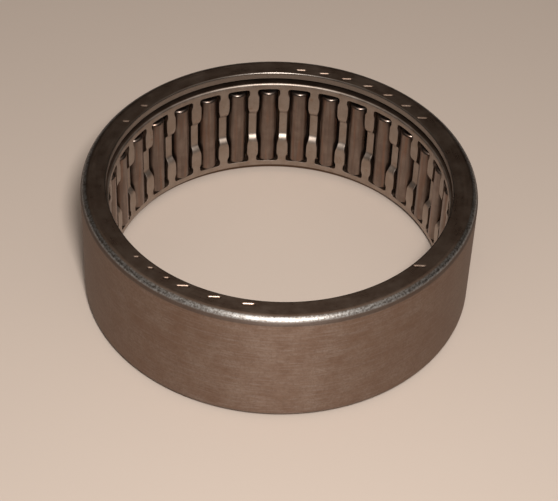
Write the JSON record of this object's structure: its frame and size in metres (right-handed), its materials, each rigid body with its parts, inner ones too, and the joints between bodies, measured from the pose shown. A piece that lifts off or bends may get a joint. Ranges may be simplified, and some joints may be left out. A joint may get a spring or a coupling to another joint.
{
  "type": "needle roller bearing",
  "caption": "Drawn cup needle roller bearing with open ends: a thin lipped steel cup, a pressed steel cage and a full ring of slim caged rollers round a shaft bore.",
  "frame": {"origin": "on the bearing's axis, at the face of the lower lip that the bearing lies on", "axes": "+Z along the bearing's axis, from the face it lies on to the other lip; -Y within half a degree of the first roller's axis"},
  "size_m": [0.047, 0.047, 0.016],
  "materials": {
    "cup_steel": "drawn and hardened steel, satin, faintly brown from oil",
    "cage_steel": "pressed strip steel, satin",
    "roller_steel": "ground bearing steel, oiled"
  },
  "bodies": {
    "cup": {"drawn_cup": "cup_steel"},
    "cage": {"cage": "cage_steel"},
    "roller_01": {"needle_roller_01": "roller_steel"},
    "roller_02": {"needle_roller_02": "roller_steel"},
    "roller_03": {"needle_roller_03": "roller_steel"},
    "roller_04": {"needle_roller_04": "roller_steel"},
    "roller_05": {"needle_roller_05": "roller_steel"},
    "roller_06": {"needle_roller_06": "roller_steel"},
    "roller_07": {"needle_roller_07": "roller_steel"},
    "roller_08": {"needle_roller_08": "roller_steel"},
    "roller_09": {"needle_roller_09": "roller_steel"},
    "roller_10": {"needle_roller_10": "roller_steel"},
    "roller_11": {"needle_roller_11": "roller_steel"},
    "roller_12": {"needle_roller_12": "roller_steel"},
    "roller_13": {"needle_roller_13": "roller_steel"},
    "roller_14": {"needle_roller_14": "roller_steel"},
    "roller_15": {"needle_roller_15": "roller_steel"},
    "roller_16": {"needle_roller_16": "roller_steel"},
    "roller_17": {"needle_roller_17": "roller_steel"},
    "roller_18": {"needle_roller_18": "roller_steel"},
    "roller_19": {"needle_roller_19": "roller_steel"},
    "roller_20": {"needle_roller_20": "roller_steel"},
    "roller_21": {"needle_roller_21": "roller_steel"},
    "roller_22": {"needle_roller_22": "roller_steel"},
    "roller_23": {"needle_roller_23": "roller_steel"},
    "roller_24": {"needle_roller_24": "roller_steel"},
    "roller_25": {"needle_roller_25": "roller_steel"},
    "roller_26": {"needle_roller_26": "roller_steel"},
    "roller_27": {"needle_roller_27": "roller_steel"},
    "roller_28": {"needle_roller_28": "roller_steel"},
    "roller_29": {"needle_roller_29": "roller_steel"},
    "roller_30": {"needle_roller_30": "roller_steel"},
    "roller_31": {"needle_roller_31": "roller_steel"},
    "roller_32": {"needle_roller_32": "roller_steel"},
    "roller_33": {"needle_roller_33": "roller_steel"}
  },
  "joints": [
    {"name": "cage_spin", "type": "hinge", "parent": "cup", "child": "cage", "pos_m": [0, 0, 0.0077], "axis": [0, 0, 1], "continuous": true},
    {"name": "roller_01_spin", "type": "hinge", "parent": "cage", "child": "roller_01", "pos_m": [-0.00019, -0.02125, 0.00745], "axis": [0, 0, 1], "continuous": true},
    {"name": "roller_02_spin", "type": "hinge", "parent": "cage", "child": "roller_02", "pos_m": [0.00384, -0.0209, 0.00745], "axis": [0, 0, 1], "continuous": true},
    {"name": "roller_03_spin", "type": "hinge", "parent": "cage", "child": "roller_03", "pos_m": [0.00773, -0.0198, 0.00745], "axis": [0, 0, 1], "continuous": true},
    {"name": "roller_04_spin", "type": "hinge", "parent": "cage", "child": "roller_04", "pos_m": [0.01133, -0.01798, 0.00745], "axis": [0, 0, 1], "continuous": true},
    {"name": "roller_05_spin", "type": "hinge", "parent": "cage", "child": "roller_05", "pos_m": [0.01453, -0.01551, 0.00745], "axis": [0, 0, 1], "continuous": true},
    {"name": "roller_06_spin", "type": "hinge", "parent": "cage", "child": "roller_06", "pos_m": [0.0172, -0.01248, 0.00745], "axis": [0, 0, 1], "continuous": true},
    {"name": "roller_07_spin", "type": "hinge", "parent": "cage", "child": "roller_07", "pos_m": [0.01925, -0.009, 0.00745], "axis": [0, 0, 1], "continuous": true},
    {"name": "roller_08_spin", "type": "hinge", "parent": "cage", "child": "roller_08", "pos_m": [0.02061, -0.00519, 0.00745], "axis": [0, 0, 1], "continuous": true},
    {"name": "roller_09_spin", "type": "hinge", "parent": "cage", "child": "roller_09", "pos_m": [0.02122, -0.0012, 0.00745], "axis": [0, 0, 1], "continuous": true},
    {"name": "roller_10_spin", "type": "hinge", "parent": "cage", "child": "roller_10", "pos_m": [0.02106, 0.00284, 0.00745], "axis": [0, 0, 1], "continuous": true},
    {"name": "roller_11_spin", "type": "hinge", "parent": "cage", "child": "roller_11", "pos_m": [0.02014, 0.00677, 0.00745], "axis": [0, 0, 1], "continuous": true},
    {"name": "roller_12_spin", "type": "hinge", "parent": "cage", "child": "roller_12", "pos_m": [0.0185, 0.01046, 0.00745], "axis": [0, 0, 1], "continuous": true},
    {"name": "roller_13_spin", "type": "hinge", "parent": "cage", "child": "roller_13", "pos_m": [0.01618, 0.01378, 0.00745], "axis": [0, 0, 1], "continuous": true},
    {"name": "roller_14_spin", "type": "hinge", "parent": "cage", "child": "roller_14", "pos_m": [0.01328, 0.01659, 0.00745], "axis": [0, 0, 1], "continuous": true},
    {"name": "roller_15_spin", "type": "hinge", "parent": "cage", "child": "roller_15", "pos_m": [0.0099, 0.0188, 0.00745], "axis": [0, 0, 1], "continuous": true},
    {"name": "roller_16_spin", "type": "hinge", "parent": "cage", "child": "roller_16", "pos_m": [0.00616, 0.02034, 0.00745], "axis": [0, 0, 1], "continuous": true},
    {"name": "roller_17_spin", "type": "hinge", "parent": "cage", "child": "roller_17", "pos_m": [0.0022, 0.02114, 0.00745], "axis": [0, 0, 1], "continuous": true},
    {"name": "roller_18_spin", "type": "hinge", "parent": "cage", "child": "roller_18", "pos_m": [-0.00184, 0.02117, 0.00745], "axis": [0, 0, 1], "continuous": true},
    {"name": "roller_19_spin", "type": "hinge", "parent": "cage", "child": "roller_19", "pos_m": [-0.00581, 0.02044, 0.00745], "axis": [0, 0, 1], "continuous": true},
    {"name": "roller_20_spin", "type": "hinge", "parent": "cage", "child": "roller_20", "pos_m": [-0.00957, 0.01897, 0.00745], "axis": [0, 0, 1], "continuous": true},
    {"name": "roller_21_spin", "type": "hinge", "parent": "cage", "child": "roller_21", "pos_m": [-0.01299, 0.01682, 0.00745], "axis": [0, 0, 1], "continuous": true},
    {"name": "roller_22_spin", "type": "hinge", "parent": "cage", "child": "roller_22", "pos_m": [-0.01594, 0.01406, 0.00745], "axis": [0, 0, 1], "continuous": true},
    {"name": "roller_23_spin", "type": "hinge", "parent": "cage", "child": "roller_23", "pos_m": [-0.01831, 0.01079, 0.00745], "axis": [0, 0, 1], "continuous": true},
    {"name": "roller_24_spin", "type": "hinge", "parent": "cage", "child": "roller_24", "pos_m": [-0.02002, 0.00713, 0.00745], "axis": [0, 0, 1], "continuous": true},
    {"name": "roller_25_spin", "type": "hinge", "parent": "cage", "child": "roller_25", "pos_m": [-0.02101, 0.00321, 0.00745], "axis": [0, 0, 1], "continuous": true},
    {"name": "roller_26_spin", "type": "hinge", "parent": "cage", "child": "roller_26", "pos_m": [-0.02123, -0.00083, 0.00745], "axis": [0, 0, 1], "continuous": true},
    {"name": "roller_27_spin", "type": "hinge", "parent": "cage", "child": "roller_27", "pos_m": [-0.02069, -0.00483, 0.00745], "axis": [0, 0, 1], "continuous": true},
    {"name": "roller_28_spin", "type": "hinge", "parent": "cage", "child": "roller_28", "pos_m": [-0.01941, -0.00866, 0.00745], "axis": [0, 0, 1], "continuous": true},
    {"name": "roller_29_spin", "type": "hinge", "parent": "cage", "child": "roller_29", "pos_m": [-0.01742, -0.01217, 0.00745], "axis": [0, 0, 1], "continuous": true},
    {"name": "roller_30_spin", "type": "hinge", "parent": "cage", "child": "roller_30", "pos_m": [-0.0148, -0.01525, 0.00745], "axis": [0, 0, 1], "continuous": true},
    {"name": "roller_31_spin", "type": "hinge", "parent": "cage", "child": "roller_31", "pos_m": [-0.01164, -0.01778, 0.00745], "axis": [0, 0, 1], "continuous": true},
    {"name": "roller_32_spin", "type": "hinge", "parent": "cage", "child": "roller_32", "pos_m": [-0.00807, -0.01966, 0.00745], "axis": [0, 0, 1], "continuous": true},
    {"name": "roller_33_spin", "type": "hinge", "parent": "cage", "child": "roller_33", "pos_m": [-0.0042, -0.02083, 0.00745], "axis": [0, 0, 1], "continuous": true}
  ],
  "couplings": [
    {"joint": "roller_01_spin", "follows": "cage_spin", "ratio": -18},
    {"joint": "roller_02_spin", "follows": "cage_spin", "ratio": -18},
    {"joint": "roller_03_spin", "follows": "cage_spin", "ratio": -18},
    {"joint": "roller_04_spin", "follows": "cage_spin", "ratio": -18},
    {"joint": "roller_05_spin", "follows": "cage_spin", "ratio": -18},
    {"joint": "roller_06_spin", "follows": "cage_spin", "ratio": -18},
    {"joint": "roller_07_spin", "follows": "cage_spin", "ratio": -18},
    {"joint": "roller_08_spin", "follows": "cage_spin", "ratio": -18},
    {"joint": "roller_09_spin", "follows": "cage_spin", "ratio": -18},
    {"joint": "roller_10_spin", "follows": "cage_spin", "ratio": -18},
    {"joint": "roller_11_spin", "follows": "cage_spin", "ratio": -18},
    {"joint": "roller_12_spin", "follows": "cage_spin", "ratio": -18},
    {"joint": "roller_13_spin", "follows": "cage_spin", "ratio": -18},
    {"joint": "roller_14_spin", "follows": "cage_spin", "ratio": -18},
    {"joint": "roller_15_spin", "follows": "cage_spin", "ratio": -18},
    {"joint": "roller_16_spin", "follows": "cage_spin", "ratio": -18},
    {"joint": "roller_17_spin", "follows": "cage_spin", "ratio": -18},
    {"joint": "roller_18_spin", "follows": "cage_spin", "ratio": -18},
    {"joint": "roller_19_spin", "follows": "cage_spin", "ratio": -18},
    {"joint": "roller_20_spin", "follows": "cage_spin", "ratio": -18},
    {"joint": "roller_21_spin", "follows": "cage_spin", "ratio": -18},
    {"joint": "roller_22_spin", "follows": "cage_spin", "ratio": -18},
    {"joint": "roller_23_spin", "follows": "cage_spin", "ratio": -18},
    {"joint": "roller_24_spin", "follows": "cage_spin", "ratio": -18},
    {"joint": "roller_25_spin", "follows": "cage_spin", "ratio": -18},
    {"joint": "roller_26_spin", "follows": "cage_spin", "ratio": -18},
    {"joint": "roller_27_spin", "follows": "cage_spin", "ratio": -18},
    {"joint": "roller_28_spin", "follows": "cage_spin", "ratio": -18},
    {"joint": "roller_29_spin", "follows": "cage_spin", "ratio": -18},
    {"joint": "roller_30_spin", "follows": "cage_spin", "ratio": -18},
    {"joint": "roller_31_spin", "follows": "cage_spin", "ratio": -18},
    {"joint": "roller_32_spin", "follows": "cage_spin", "ratio": -18},
    {"joint": "roller_33_spin", "follows": "cage_spin", "ratio": -18}
  ]
}
